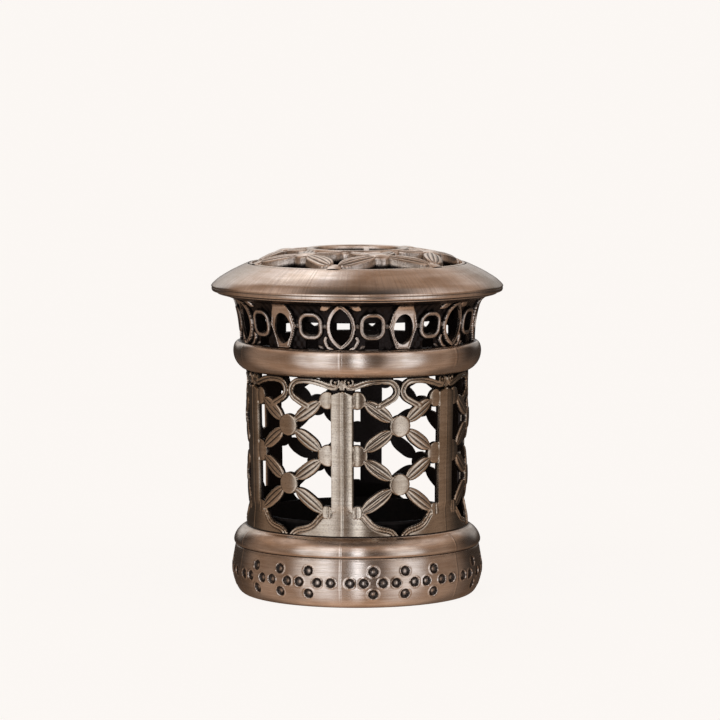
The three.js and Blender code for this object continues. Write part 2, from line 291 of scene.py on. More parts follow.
def turned_mesh(name, line, columns, sharp=40):
    """A body turned from an open line of (radius, height) that starts and ends on the axis."""
    inner = line[1:-1]
    points = round_axis(inner[None, :, 0], round_angles(columns), inner[None, :, 1]).reshape(-1, 3)
    index = np.arange(columns * len(inner)).reshape(columns, len(inner))
    first, last = len(points), len(points) + 1
    points = np.vstack([points, [0, 0, line[0][1]], [0, 0, line[-1][1]]])
    faces = list(quads(index, False))
    turned = np.roll(index, -1, axis=0)
    faces += [[first, b, a] for a, b in zip(index[:, 0], turned[:, 0])]
    faces += [[last, a, b] for a, b in zip(index[:, -1], turned[:, -1])]
    return build_mesh(name, points, faces, np.zeros(len(points)), sharp)


NEAREST = 0.04  # a cut stays this share of the grid's spacing away from its points
NEAR_EDGE = 0.9  # how far from its edges a wall's back is moved, in millimetres
MIDDLE_ROW = 0.55  # place of the side walls' middle row, from the back


def sheet_mesh(name, front, back, inside, dark, wrap, draft=0.0, walls=0.9):
    """A pierced wall: a front and a back grid of points, cut to where inside is positive.

    Side walls join the two faces along the cut. They slope, so that openings are narrower at the
    back by draft. dark is the front's patina and painted shade, walls is the side walls' painted
    shade, and the back is dark.
    """
    ahead, behind = np.roll(inside, -1, axis=0), np.roll(inside, 1, axis=0)
    if not wrap:
        ahead[-1], behind[0] = inside[-1], inside[0]
    slope_u = np.clip(ahead - behind, -2, 2)
    slope_v = np.clip(np.gradient(inside, axis=1) * 2, -2, 2)
    size = np.maximum(np.hypot(slope_u, slope_v), 1e-6)[..., None]
    to_next_u = np.roll(back, -1, axis=0) - back
    to_next_v = np.gradient(back, axis=1)
    step_u = to_next_u / np.maximum(np.linalg.norm(to_next_u, axis=-1, keepdims=True), 1e-6)
    step_v = to_next_v / np.maximum(np.linalg.norm(to_next_v, axis=-1, keepdims=True), 1e-6)
    if not wrap:
        step_u[-1] = step_u[-2]
    near_edge = (np.abs(inside) < NEAR_EDGE)[..., None]
    outward = slope_u[..., None] * step_u + slope_v[..., None] * step_v
    shifted = back - near_edge * draft * outward / size
    columns = len(inside)
    kept = inside > 0
    number = np.full(inside.shape, -1)
    number[kept] = np.arange(kept.sum())
    fronts, backs, darkening = [front[kept]], [back[kept]], [dark[kept]]
    count = int(kept.sum())
    crossing = {}

    def cross(a, b):
        """The number of the point where the outline cuts between two grid points."""
        nonlocal count
        key = (a, b) if a < b else (b, a)
        if key not in crossing:
            (i, j), (k, l) = key
            t = inside[i, j] / (inside[i, j] - inside[k, l])
            t = min(max(t, NEAREST), 1 - NEAREST)
            fronts.append(((1 - t) * front[i, j] + t * front[k, l])[None])
            backs.append(((1 - t) * shifted[i, j] + t * shifted[k, l])[None])
            darkening.append(np.array([(1 - t) * dark[i, j] + t * dark[k, l]]))
            crossing[key] = count
            count += 1
        return crossing[key]

    last_column = columns if wrap else columns - 1
    here = kept[:last_column, :-1]
    ahead = np.roll(kept, -1, axis=0)[:last_column]
    corners_kept = here.astype(int) + ahead[:, :-1] + ahead[:, 1:] + kept[:last_column, 1:]
    ahead_number = np.roll(number, -1, axis=0)[:last_column]
    whole = corners_kept == 4
    grid = number[:last_column]
    corners = grid[:, :-1], ahead_number[:, :-1], ahead_number[:, 1:], grid[:, 1:]
    faces = np.stack([corner[whole] for corner in corners], axis=-1).tolist()
    for i, j in np.argwhere((corners_kept > 0) & ~whole):
        k = (i + 1) % columns
        cell = [(int(i), int(j)), (int(k), int(j)), (int(k), int(j + 1)), (int(i), int(j + 1))]
        face = []
        for p, q in zip(cell, cell[1:] + cell[:1]):
            if kept[p]:
                face.append(int(number[p]))
            if kept[p] != kept[q]:
                face.append(cross(p, q))
        if len(face) > 2:
            faces.append(face)

    fronts, backs, darkening = np.vstack(fronts), np.vstack(backs), np.concatenate(darkening)
    uses = {}
    for face in faces:
        for a, b in zip(face, face[1:] + face[:1]):
            if (b, a) in uses:
                del uses[(b, a)]
            else:
                uses[(a, b)] = True
    rim = sorted({v for edge in uses for v in edge})
    middle = {v: 2 * count + n for n, v in enumerate(rim)}
    middles = MIDDLE_ROW * fronts[rim] + (1 - MIDDLE_ROW) * backs[rim]
    all_faces = faces + [[v + count for v in reversed(face)] for face in faces]
    for a, b in uses:
        all_faces.append([b, a, middle[a], middle[b]])
        all_faces.append([middle[b], middle[a], a + count, b + count])
    points = np.vstack([fronts, backs, middles])
    patina_and_shade = np.concatenate([darkening, np.full(count, 0.85), np.full(len(rim), walls)])
    return build_mesh(name, points, all_faces, patina_and_shade, 42)


# ---- materials ----
def node(tree, kind, inputs=None, **settings):
    """A shader node with its settings and inputs; an input is a value or another node's output."""
    made = tree.nodes.new(kind)
    for key, value in settings.items():
        setattr(made, key, value)
    for key, value in (inputs or {}).items():
        if isinstance(value, bpy.types.NodeSocket):
            tree.links.new(value, made.inputs[key])
        else:
            made.inputs[key].default_value = value
    return made


def maths(tree, operation, *values):
    """A number worked out from others."""
    return node(tree, "ShaderNodeMath", dict(enumerate(values)), operation=operation).outputs[0]


def times(tree, a, b):
    """The product of two numbers."""
    return maths(tree, "MULTIPLY", a, b)


def plus(tree, a, b):
    """The sum of two numbers."""
    return maths(tree, "ADD", a, b)


def bumped(tree, height, strength):
    """A normal from a height in millimetres."""
    inputs = {"Strength": strength, "Distance": MM, "Height": height}
    return node(tree, "ShaderNodeBump", inputs).outputs[0]


def ramp(tree, value, low, high, to_low=0.0, to_high=1.0):
    """A smooth change from to_low to to_high as value goes from low to high."""
    inputs = {"Value": value, "From Min": low, "From Max": high, "To Min": to_low, "To Max": to_high}
    return node(tree, "ShaderNodeMapRange", inputs, interpolation_type="SMOOTHSTEP").outputs[0]


def blend(tree, share, a, b):
    """Colour a where share is 0, colour b where it is 1."""
    made = node(tree, "ShaderNodeMix", {"Factor": share}, data_type="RGBA")
    for socket, value in ((made.inputs[6], a), (made.inputs[7], b)):
        if isinstance(value, bpy.types.NodeSocket):
            tree.links.new(value, socket)
        else:
            socket.default_value = (*value, 1.0)
    return made.outputs[2]


def noise(tree, vector, scale, detail=3.0, roughness=0.55):
    """Cloudy noise from about 0.3 to 0.7."""
    inputs = {"Vector": vector, "Scale": scale, "Detail": detail, "Roughness": roughness}
    return node(tree, "ShaderNodeTexNoise", inputs).outputs[0]


def brushing(tree, place, fineness, reach, radial=False):
    """Noise drawn out into fine lines round the axis, or away from it."""
    x, y, z = node(tree, "ShaderNodeSeparateXYZ", {0: place}).outputs
    radius = maths(tree, "SQRT", plus(tree, times(tree, x, x), times(tree, y, y)))
    radius = maths(tree, "MAXIMUM", radius, 0.5)
    around, across = (fineness * 36, 1 / reach) if radial else (reach, fineness)
    level = times(tree, plus(tree, z, times(tree, radius, 0.83)), across)
    turned = [times(tree, maths(tree, "DIVIDE", v, radius), around) for v in (x, y)]
    vector = node(tree, "ShaderNodeCombineXYZ", {0: turned[0], 1: turned[1], 2: level}).outputs[0]
    return noise(tree, vector, 1.0, 4.0, 0.6)


def new_material(name):
    """An empty material, its node tree, and object coordinates in millimetres."""
    made = bpy.data.materials.new(name)
    made.use_nodes = True
    tree = made.node_tree
    tree.nodes.clear()
    place = node(tree, "ShaderNodeTexCoord").outputs["Object"]
    scaled = node(tree, "ShaderNodeVectorMath", {0: place, "Scale": 1 / MM}, operation="SCALE")
    return made, tree, scaled.outputs[0]


def surface(tree, shader):
    """Ends a material with its shader."""
    node(tree, "ShaderNodeOutputMaterial", {"Surface": shader.outputs[0]})


def principled(material, colour, roughness, normal, **others):
    """Ends a material with a Principled shader; an underscore in a name stands for a space."""
    inputs = {"Base Color": colour, "Roughness": roughness, "Normal": normal}
    inputs.update({name.replace("_", " "): value for name, value in others.items()})
    tree = material.node_tree
    surface(tree, node(tree, "ShaderNodeBsdfPrincipled", inputs))
    return material


PALE = (0.76, 0.675, 0.60)
WARM = (0.56, 0.45, 0.36)
UMBER = (0.155, 0.13, 0.12)
SOOT = (0.014, 0.011, 0.011)


def aged_bronze(
    name, polish=1.0, brushed=1.0, aniso=0.0, radial=False, tone=1.0, smooth=0.17, warm=WARM, pale=PALE
):
    """Antique plating: rubbed bright where it is handled, brown between, black in the hollows and where the
    mesh carries painted shade, lighter where it carries painted glints.
    """
    made, tree, place = new_material(name)
    lines = brushing(tree, place, 4.0 if radial else 7.0, 9.0, radial)
    bands = brushing(tree, place, 1.6, 3.0)
    clouds = noise(tree, place, 0.11, 3.0)
    grains = noise(tree, place, 2.6, 4.0, 0.65)
    patina_and_shade = node(tree, "ShaderNodeAttribute", attribute_name="patina_and_shade").outputs["Fac"]
    grit = times(tree, maths(tree, "SUBTRACT", grains, 0.5), 0.45)
    dark_share = ramp(tree, plus(tree, patina_and_shade, grit), 0.18, 0.72)
    mottle = plus(tree, times(tree, clouds, 0.6), times(tree, bands, 0.4))
    colour = blend(tree, ramp(tree, mottle, 0.36, 0.62), warm, pale)
    colour = blend(tree, times(tree, ramp(tree, lines, 0.35, 0.75), 0.30 * brushed), colour, UMBER)
    darkening = times(tree, ramp(tree, grains, 0.45, 0.75), 1.0 - polish)
    colour = blend(tree, plus(tree, darkening, 1.0 - tone), colour, UMBER)
    colour = blend(tree, dark_share, colour, SOOT)
    rough = ramp(tree, lines, 0.2, 0.8, smooth, smooth + 0.12)
    rough = plus(tree, rough, times(tree, dark_share, 0.16))
    relief = plus(tree, times(tree, lines, 0.010 * brushed), times(tree, grains, 0.012))
    others = {"Metallic": ramp(tree, dark_share, 0.0, 1.0, 1.0, 0.8), "Specular_Tint": (0.95, 0.84, 0.74, 1.0)}
    if aniso:
        others["Anisotropic"] = aniso
        others["Anisotropic_Rotation"] = 0.0 if radial else 0.25
        others["Tangent"] = node(tree, "ShaderNodeTangent", direction_type="RADIAL", axis="Z").outputs[0]
    return principled(made, colour, rough, bumped(tree, relief, 0.55), **others)


def black_coat():
    """Matt black heatproof coat, dusty with soot."""
    made, tree, place = new_material("black_coat")
    dust = noise(tree, place, 0.35, 5.0, 0.6)
    pores = noise(tree, place, 5.0, 3.0)
    colour = blend(tree, ramp(tree, dust, 0.35, 0.75), (0.006, 0.005, 0.005), (0.016, 0.013, 0.012))
    normal = bumped(tree, times(tree, pores, 0.03), 0.5)
    return principled(made, colour, ramp(tree, dust, 0.3, 0.7, 0.6, 0.8), normal, Specular_IOR_Level=0.12)


def plated_steel():
    """Zinc plating with a faint yellow tint."""
    made, tree, place = new_material("plated_steel")
    grain = noise(tree, place, 3.5, 4.0)
    colour = blend(tree, ramp(tree, grain, 0.3, 0.7), (0.50, 0.48, 0.44), (0.66, 0.65, 0.62))
    normal = bumped(tree, times(tree, grain, 0.02), 0.3)
    return principled(made, colour, ramp(tree, grain, 0.3, 0.7, 0.28, 0.4), normal, Metallic=1.0)


def pressed_fibre():
    """Glass-fibre mat: matted threads, browned by smoke in patches."""
    made, tree, place = new_material("pressed_fibre")
    threads = noise(tree, place, 2.2, 8.0, 0.75)
    smoke = noise(tree, place, 0.12, 3.0)
    clean = blend(tree, ramp(tree, threads, 0.3, 0.7), (0.50, 0.46, 0.40), (0.72, 0.69, 0.62))
    colour = blend(tree, times(tree, ramp(tree, smoke, 0.35, 0.7), 0.6), clean, (0.22, 0.15, 0.09))
    normal = bumped(tree, times(tree, threads, 0.25), 0.8)
    return principled(made, colour, 0.95, normal, Sheen_Weight=0.25)


def turned_brass():
    """Yellow brass with turning marks and some tarnish."""
    made, tree, place = new_material("turned_brass")
    marks = brushing(tree, place, 9.0, 2.0)
    tarnish = noise(tree, place, 0.7, 4.0)
    colour = blend(tree, ramp(tree, tarnish, 0.4, 0.7), (0.78, 0.56, 0.25), (0.42, 0.27, 0.11))
    normal = bumped(tree, times(tree, marks, 0.02), 0.4)
    return principled(made, colour, ramp(tree, tarnish, 0.3, 0.7, 0.25, 0.42), normal, Metallic=1.0)


CAST = aged_bronze("cast_bronze", polish=0.6, brushed=0.5, tone=0.88, smooth=0.15)
# The lattice's bronze is a darker copy of the others: painted shade, as the lattice lies sunk between the
# waist ring and the base ring.
SHADED_SLEEVE_TONES = {"warm": (0.52, 0.43, 0.32), "pale": (0.74, 0.65, 0.53)}
SHADED_SLEEVE_CAST = aged_bronze("sleeve_bronze_shaded", polish=0.62, brushed=0.6, tone=0.78, smooth=0.13, **SHADED_SLEEVE_TONES)
CROWN_CAST = aged_bronze("crown_bronze", brushed=0.5, smooth=0.24, warm=(0.66, 0.57, 0.48))
RINGS = aged_bronze("brushed_bronze", polish=0.95, aniso=0.65)
CAP = aged_bronze("radially_brushed_bronze", polish=0.95, aniso=0.3, radial=True, smooth=0.14)
COAT = black_coat()
STEEL = plated_steel()
FIBRE = pressed_fibre()
BRASS = turned_brass()


def place_piece(mesh, material, body, node_name):
    """A piece, named as its mesh, that rides on a body and stands for a CAD node."""
    made = bpy.data.objects.new(mesh.name, mesh)
    bpy.context.scene.collection.objects.link(made)
    mesh.materials.append(material)
    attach(made, body)
    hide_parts(node_name)


# ---- base ----
SEAM_HALF = 0.14
SEAM_PROUD = 0.065
DIMPLE_RADIUS = 1.28
DIMPLE_DEPTH = 0.62
DIMPLE_ROW = 6.75  # height of the middle row of dimples
DIMPLE_ROWS_APART = 2.95
BAND_TOP = 12.98  # height of the groove between the band and the moulding


def seams(angle, radius):
    """Fine raised parting lines in the middles of the pillars."""
    off = np.abs((angle / PANEL_TURN + 0.5) % 1 - 0.5) * PANEL_TURN * radius
    return SEAM_PROUD * ridge(off, 0, SEAM_HALF)


def dimple_places():
    """(angle, row) of each dimple: pairs along the middle, one above and one below each gap."""
    quarter = PANEL_TURN / 4
    pair = math.radians(3.1)
    for panel in range(PANELS):
        start = panel * PANEL_TURN
        for i in range(4):
            yield start + (i + 0.5) * quarter - pair, 0
            yield start + (i + 0.5) * quarter + pair, 0
        for i in range(1, 4):
            yield start + i * quarter, 1
            yield start + i * quarter, -1


def base_ring():
    """The dimpled band, the moulding over it and the hollow under them."""
    lower = smooth_line(
        (29.2, 0.0), (30.1, 0.12), (31.0, 0.8), (31.8, 2.2), (32.4, 4.0), (32.8, 5.7), (32.87, 6.9),
        (32.8, 8.1), (32.62, 9.4), (32.35, 10.9), (32.12, 12.2), (31.95, 12.85),
    )
    moulding = smooth_line(
        (32.0, 13.1), (32.33, 13.6), (32.38, 14.3), (32.15, 15.1), (31.75, 15.9), (31.2, 16.6),
        (30.4, 17.3), (29.5, 17.8), (29.1, base_top),
    )
    inner = [(27.6, base_top), (27.6, 13.0), (22.0, 13.0), (22.0, 11.4), (27.0, 11.4), (27.0, 0.0)]
    loop = closed_loop(np.vstack([lower, [(31.78, BAND_TOP)], moulding]), inner)
    columns = 960
    angle = round_angles(columns)
    radius, height = loop[None, :, 0], loop[None, :, 1]
    outside = (radius > 29.0) & (height > 0.2) & (height < 17.6)
    relief = seams(angle, radius) * outside
    dark = np.zeros((columns, len(loop)))
    band = (radius > 30.5) & (height < 12.6)
    for a, row in dimple_places():
        turn_off = (angle - a + math.pi) % (2 * math.pi) - math.pi
        off = np.hypot(turn_off * radius, height - DIMPLE_ROW - row * DIMPLE_ROWS_APART) / DIMPLE_RADIUS
        bowl = crown(off, 1)
        rim = ridge(off, 1.13, 0.13)
        nub = ridge(off, 0, 0.33)
        relief += band * (-DIMPLE_DEPTH * bowl**0.6 + 0.2 * nub + 0.09 * rim)
        # Each dimple's bowl is dark with patina, and lighter over the nub at its middle: a painted glint.
        dark = np.maximum(dark, band * (0.68 - 0.5 * nub) * bump_step(-off, -1.08, -0.98))
    dark = np.maximum(dark, 0.75 * ridge(height, BAND_TOP, 0.16) * (radius > 30))
    # A soft dark band along the top of the band, under the moulding: painted shade.
    dark = np.maximum(dark, 0.35 * ridge(height, 12.5, 0.6) * band)
    dark = np.maximum(dark, bump_step(height, 17.85, 18.05) * (radius < 30.0) * 0.8)
    dark = np.maximum(dark, np.where(radius < 28.6, 0.9, 0.0))
    return lathe_mesh("base_ring_cast", loop, columns, relief, dark)


def base_plate():
    """The plate that closes the base, with a small chamfer round its lower edge."""
    low, high = span("base_plate")
    edge = high[0]
    face = smooth_line((0, low[2]), (8, low[2]), step=2.0)
    sides = [(edge - 0.2, low[2]), (edge, low[2] + 0.2), (edge, high[2]), (0, high[2])]
    return turned_mesh("base_plate_disc", np.vstack([face, sides]), 180, sharp=30)


def base_screw(number):
    """A screw: a rounded head with a recess, under the plate, and a plain shank."""
    low, high = span(f"base_screw_{number}")
    middle = (low + high) / 2
    under, top = low[2], high[2]
    line = [
        (0, under + 0.45), (0.5, under + 0.45), (0.75, under + 0.05), (1.6, under), (2.1, under + 0.25),
        (2.3, under + 0.6), (2.3, under + 1.0), (1.1, under + 1.0), (1.1, top - 0.5), (0.7, top), (0, top),
    ]
    mesh = turned_mesh(f"plate_screw_{number}", np.array(line), 48)
    for vertex in mesh.vertices:
        vertex.co.x += middle[0] * MM
        vertex.co.y += middle[1] * MM
    return mesh


# ---- lattice panels ----
PILLAR_HALF = 2.95
LATTICE_HALF = 11.3  # from the middle of a panel to where its leaves meet the pillar
LOWEST_ROW = 23.85  # height of the lowest crossing
ROW_PITCH = 7.55
STUD = 2.85  # radius of the round studs
LEAF_HALF = 1.85
SCROLL_HALF = 0.82
PILLAR_TOP = 55.7
WALL = 0.75  # thickness behind the surface that the relief stands on
DRAFT = 0.05  # how much narrower an opening's sides are at the back
GRID = 0.2  # spacing of the panels' grid


def lines_along(off, places, width):
    """Thin lines at given distances from an edge."""
    return sum(ridge(off, at, width) for at in places)


def ribbed(across, low, high, grooves, width):
    """Height, edge and darkness across a crowned leaf with grooves, as Relief.put takes them: patina in the
    grooves, painted shade along the leaf's sides.
    """
    cut = lines_along(np.abs(across), grooves, width)
    shade = bump_step(np.abs(across), 0.84, 1.0)
    height = low + (high - low) * (1 - across**2) - 0.16 * cut
    return height, 0.3, np.maximum(0.8 * np.clip(cut, 0, 1), 0.7 * shade)


def ogee():
    """The window's lower edge, from the cusp in the middle to the pillar."""
    return smooth_line(
        (0.0, 17.6), (0.45, 18.5), (1.3, 19.5), (2.7, 20.25), (5.0, 20.8), (6.6, 21.55), (7.9, 22.9),
        (9.1, 24.2), (10.4, 25.0), (12.6, 25.6),
    )


def row(n):
    """Height of the lattice's crossing number n, counted from the pillar's foot."""
    return LOWEST_ROW + n * ROW_PITCH


def panel_relief(u, z):
    """One panel at distances u round from its middle and heights z."""
    relief = Relief(u.shape)
    side = np.abs(u)
    from_seam = PANEL_TURN / 2 * SLEEVE - side

    # pillar, with a pointed top, a raised line along its middle, and painted shadow lines beside it
    top = PILLAR_TOP - 0.33 * from_seam
    pillar = np.minimum(PILLAR_HALF - from_seam, (top - z) * 0.95)
    rise = 0.2 + (0.3 + 0.12 * (1 - (from_seam / PILLAR_HALF) ** 2)) * bump_step(z, 23.6, 26.5)
    shade_beside_seam = ridge(from_seam, 0.4, 0.22)
    rise += seams(side / SLEEVE - PANEL_TURN / 2, SLEEVE)
    relief.put(pillar, rise, (0.26 + 0.3 * shade_beside_seam) * bump_step(z, 22.0, 25.0) + 0.01)

    # skirt under the ogee, with a double line along its edge
    edge = ogee()
    below = np.interp(side, edge[:, 0], edge[:, 1]) - z
    off = from_line(side, z, edge) * np.sign(below)
    grooves = lines_along(off, (0.72, 1.5), 0.15)
    skirt = 0.2 + 0.16 * lines_along(off, (0.3, 1.1), 0.2) - 0.16 * grooves
    relief.put(off, skirt, 0.25, 0.75 * np.clip(grooves, 0, 1) * (from_seam > PILLAR_HALF - 0.5))

    # leaves, then studs over them
    for n in (1, 3):
        for reach in (-1, 1):
            short = 1.1 if n + reach == 0 else 1.9
            start = (1.9, row(n) + 1.25 * reach)
            end = (LATTICE_HALF - short, row(n + reach) - (short - 0.65) * reach)
            inside, across = leaf(side, z, start, end, LEAF_HALF)
            relief.put(inside, *ribbed(across, 0.12, 0.42, (0.34,), 0.12))
            spine = from_line(side, z, [(0, row(n)), (LATTICE_HALF, row(n + reach))])
            relief.put(0.6 - spine, -0.3, 0.2, 0.8)
    for n in (1, 3):
        r = np.hypot(u, z - row(n))
        shade = 0.6 * bump_step(r, STUD - 0.35, STUD)
        relief.put(STUD - r, 0.62 + 0.16 * crown(r, STUD), 0.35, shade)
    outside_pillar = from_seam - PILLAR_HALF + 0.2
    for centre, place, size in ((row(2), LATTICE_HALF, STUD), (53.2, 11.2, 2.35)):
        r = np.hypot(side - place, z - centre)
        shade = 0.75 * bump_step(r, size - 0.4, size)
        relief.put(np.minimum(size - r, outside_pillar), 0.15 + 0.3 * crown(r, size), 0.3, shade)
    foot = rounded_box(side - 11.0, z - 24.4, 1.35, 1.65, 0.9)
    parting = ridge(side, 11.35, 0.16)
    shade = np.maximum(0.75 * bump_step(-foot, -0.3, 0.0), 0.7 * parting)
    relief.put(foot, 0.42 - 0.2 * parting, 0.4, shade)

    # scroll from the capital to the upper leaves
    scroll = smooth_line(
        (13.3, 56.6), (11.9, 56.75), (9.6, 57.5), (6.6, 58.1), (3.2, 58.05), (1.35, 57.0), (0.78, 55.3),
        (1.6, 53.8), (3.4, 52.7), (5.6, 51.6),
    )
    d = from_line(side, z, scroll)
    cut = ridge(d, 0, 0.17)
    shade = np.maximum(0.8 * cut, 0.6 * bump_step(d, SCROLL_HALF - 0.2, SCROLL_HALF))
    relief.put(SCROLL_HALF - d, 0.35 - 0.2 * cut, 0.25, shade)

    # capital: two volutes on a sunk ground
    relief.put(np.minimum(PILLAR_HALF + 0.3 - from_seam, z - 54.9), -0.5, 0.2, 0.85)
    for foot_place, head_place in (((0.0, 55.9), (0.0, 58.4)), ((0.5, 56.1), (0.95, 58.7))):
        relief.put(0.24 - from_line(from_seam, z, [foot_place, head_place]), 0.25, 0.2, 0.1)
    d = np.hypot(from_seam - 1.75, z - 57.95)
    from_curl = np.abs(d - 1.05)
    # The curl is darker along its sides: painted shade.
    relief.put(0.36 - from_curl, 0.45, 0.25, 0.5 * bump_step(from_curl, 0.15, 0.36))
    relief.put(0.42 - d, 0.5, 0.3)
    relief.put(0.3 - from_line(from_seam, z, [(2.3, 57.0), (1.2, 56.6), (0.2, 57.2)]), 0.3, 0.2)

    # the lip that the waist ring covers
    relief.put(z - (waist_low + 0.35), -0.3, 0.2, 1.0)
    ends = np.minimum(waist_low + 1.2 - z, z - (base_top - LIP))
    relief.inside = np.minimum(relief.inside, ends)
    return relief


def panel_radius(z):
    """The sleeve swells a little towards both ends."""
    heights = [18.2, 20.5, 25.0, 33.0, 41.0, 49.0, 60.0]
    return np.interp(z, heights, [28.85, 28.7, 28.35, 28.4, 28.55, 28.75, 28.8])


def lattice_panels():
    """Six equal panels, which meet at the raised lines in the middles of the pillars."""
    half = PANEL_TURN / 2 * SLEEVE
    columns = int(2 * half / GRID) | 1
    rows = int((waist_low + 1.4 - base_top) / GRID)
    u = np.linspace(-half, half, columns)[:, None]
    z = np.linspace(base_top - 0.4, waist_low + 1.3, rows)[None, :]
    u, z = np.broadcast_arrays(u, z)
    relief = panel_relief(u, z)
    height = relief.settle(-0.5)
    dark = patina_and_shade_of(relief, False)
    # Darker along the panels' top, under the waist ring: patina and painted shade; and along their foot,
    # where they run into the base ring: painted shade.
    dark = np.maximum(dark, 0.9 * bump_step(z, waist_low - 1.0, waist_low + 0.2))
    dark = np.maximum(dark, 0.75 * bump_step(-z, -base_top - 0.3, -base_top))
    wall = panel_radius(z)
    front = round_axis(wall + height, u / SLEEVE, z)
    back = round_axis(wall - WALL, u / SLEEVE, z)
    for i in range(PANELS):
        name = f"lattice_panel_{i + 1}"
        angle = (i + 0.5) * PANEL_TURN
        faces = turn(front, angle), turn(back, angle)
        mesh = sheet_mesh(f"{name}_cast", *faces, relief.inside, dark, False, DRAFT)
        place_piece(mesh, SHADED_SLEEVE_CAST, "burner", name)


# ---- waist ring ----
def waist_ring():
    """The plain half-round ring over the lattice, with its parting lines."""
    outer = smooth_line(
        (29.3, waist_low), (30.3, waist_low + 0.5), (31.25, 60.3), (31.8, 61.1), (32.2, 62.0),
        (32.42, 63.0), (32.48, 63.9), (32.38, 64.8), (32.1, 65.6), (31.6, 66.15), (31.0, waist_high),
    )
    loop = closed_loop(outer, [(28.9, waist_high), (28.0, 63.0), (27.5, waist_low)])
    columns = 540
    angle = round_angles(columns)
    radius, height = loop[None, :, 0], loop[None, :, 1]
    relief = seams(angle, radius) * (radius > 30.2)
    # Darker along the ring's lower edge, over the lattice: patina and painted shade; its inner faces are
    # dark too.
    dark = np.maximum(0.95 * bump_step(-height, -waist_low - 0.6, -waist_low - 0.1), 0.95 * (radius < 30.0))
    dark = np.maximum(dark, 0.8 * bump_step(height, waist_high - 0.2, waist_high - 0.02))
    return lathe_mesh("waist_ring_cast", loop, columns, relief, dark)


# ---- gallery ----
ORNAMENTS = 24
GALLERY_TURN = 2 * math.pi / ORNAMENTS
GALLERY_MIDDLE = 72.3  # height of the rings' middles
WEB = -0.85  # the sunk ground between the ornaments
HOOK = [(2.3, 66.3), (3.5, 67.0), (4.3, 68.6), (4.0, 69.4)]  # beside each marquise's foot


def gallery_relief(angle, z, radius):
    """Marquise, ring, shield and ring, four to each panel, on a sunk ground."""
    relief = Relief(z.shape)
    # The sunk ground is painted near black, with its stippled bumps a little lighter: painted glints.
    stipple = np.sin(angle * 97) * np.sin(z * 2.3)
    shade = 1.0 - 0.15 * bump_step(stipple, 0.0, 0.95)
    relief.put(np.full(z.shape, 5.0), WEB + 0.12 * stipple, EDGE, shade)
    holes = []
    for i in range(ORNAMENTS):
        a = (angle - i * GALLERY_TURN + math.pi) % (2 * math.pi) - math.pi
        u = a * radius
        u = np.where(np.abs(u) < 6.5, u, 50.0)
        if i % 4 == 0:
            for sign in (-1, 1):
                hook = smooth_line(*[(sign * x, y) for x, y in HOOK])
                relief.put(0.45 - from_line(u, z, hook), -0.15, 0.3, 0.15)
                bud = lens(u, z, (sign * 2.2, 77.9), (sign * 5.6, 76.5), 0.95)
                relief.put(bud, -0.2, 0.5, 0.1)
                bud = lens(u, z, (sign * 4.6, 66.4), (sign * 6.3, 67.4), 0.5)
                relief.put(bud, -0.45, 0.4, 0.5)
            inside = lens(u, z, (0, 66.3), (0, 78.1), 3.75)
            groove = ridge(inside, 0.55, 0.13) * (u > 0.4)
            shade = np.maximum(0.8 * groove, 0.5 * bump_step(-inside, -0.2, 0.0))
            relief.put(inside, 0.15 - 0.15 * groove, 0.3, shade)
            holes.append(inside - 0.9)
        elif i % 4 == 2:
            right = [(1.9, 66.4), (3.95, 72.3), (3.15, 75.7), (1.8, 78.1)]
            inside = polygon(u, z, right + [(-x, y) for x, y in reversed(right)])
            line = ridge(inside, 0.5, 0.13) * bump_step(-z, -76.0, -73.5)
            shade = np.maximum(0.7 * line, 0.5 * bump_step(-inside, -0.2, 0.0))
            relief.put(inside, 0.2 - 0.18 * line, 0.3, shade)
            holes.append(2.6 * (1 - np.hypot(u / 2.6, (z - 71.55) / 3.95)))
        else:
            inside = rounded_box(u, z - GALLERY_MIDDLE, 3.4, 3.55, 2.75)
            crest = np.sin(math.pi * np.clip(inside / 1.1, 0, 1))
            relief.put(inside, -0.05 + 0.25 * crest, 0.3, 0.25 + 0.4 * (1 - crest))
            holes.append(inside - 1.1)
            holes.append(rounded_box(u, z - 67.5, 1.85, 1.2, 0.3))
            for sign in (-1, 1):
                relief.put(0.75 - np.hypot(u - sign * 3.9, z - GALLERY_MIDDLE), -0.3, 0.5, 0.55)
    for hole in holes:
        relief.dig(hole)
    return relief


def gallery_profiles(rows):
    """The outer and the inner face, from the waist ring up to the edge of the lid's seat."""
    foot = gallery_low - LIP
    outer = smooth_line(
        (30.7, foot), (30.75, 69.0), (31.0, 71.5), (31.4, 73.8), (32.0, 76.0), (32.75, 77.3),
        (34.0, 78.1), (35.6, 78.6), (seat_radius - 0.25, 78.85), (seat_radius, 79.1),
        step=0.2,
    )
    inner = smooth_line(
        (29.1, foot), (29.1, 69.0), (29.25, 71.5), (29.5, 73.8), (29.9, 76.0), (30.2, 77.6),
        (30.6, 79.0), (32.5, seat_top), (seat_radius, seat_top),
        step=0.2,
    )

    def at_share(line, share):
        """Points at shares of a line's length."""
        length = np.concatenate([[0], np.cumsum(np.linalg.norm(np.diff(line, axis=0), axis=1))])
        length /= length[-1]
        return np.stack([np.interp(share, length, line[:, k]) for k in (0, 1)], axis=1)

    outer = at_share(outer, np.linspace(0, 1, rows))
    return outer, at_share(inner, np.interp(outer[:, 1], [foot, 77.4, 79.1], [0.0, 0.62, 1.0]))


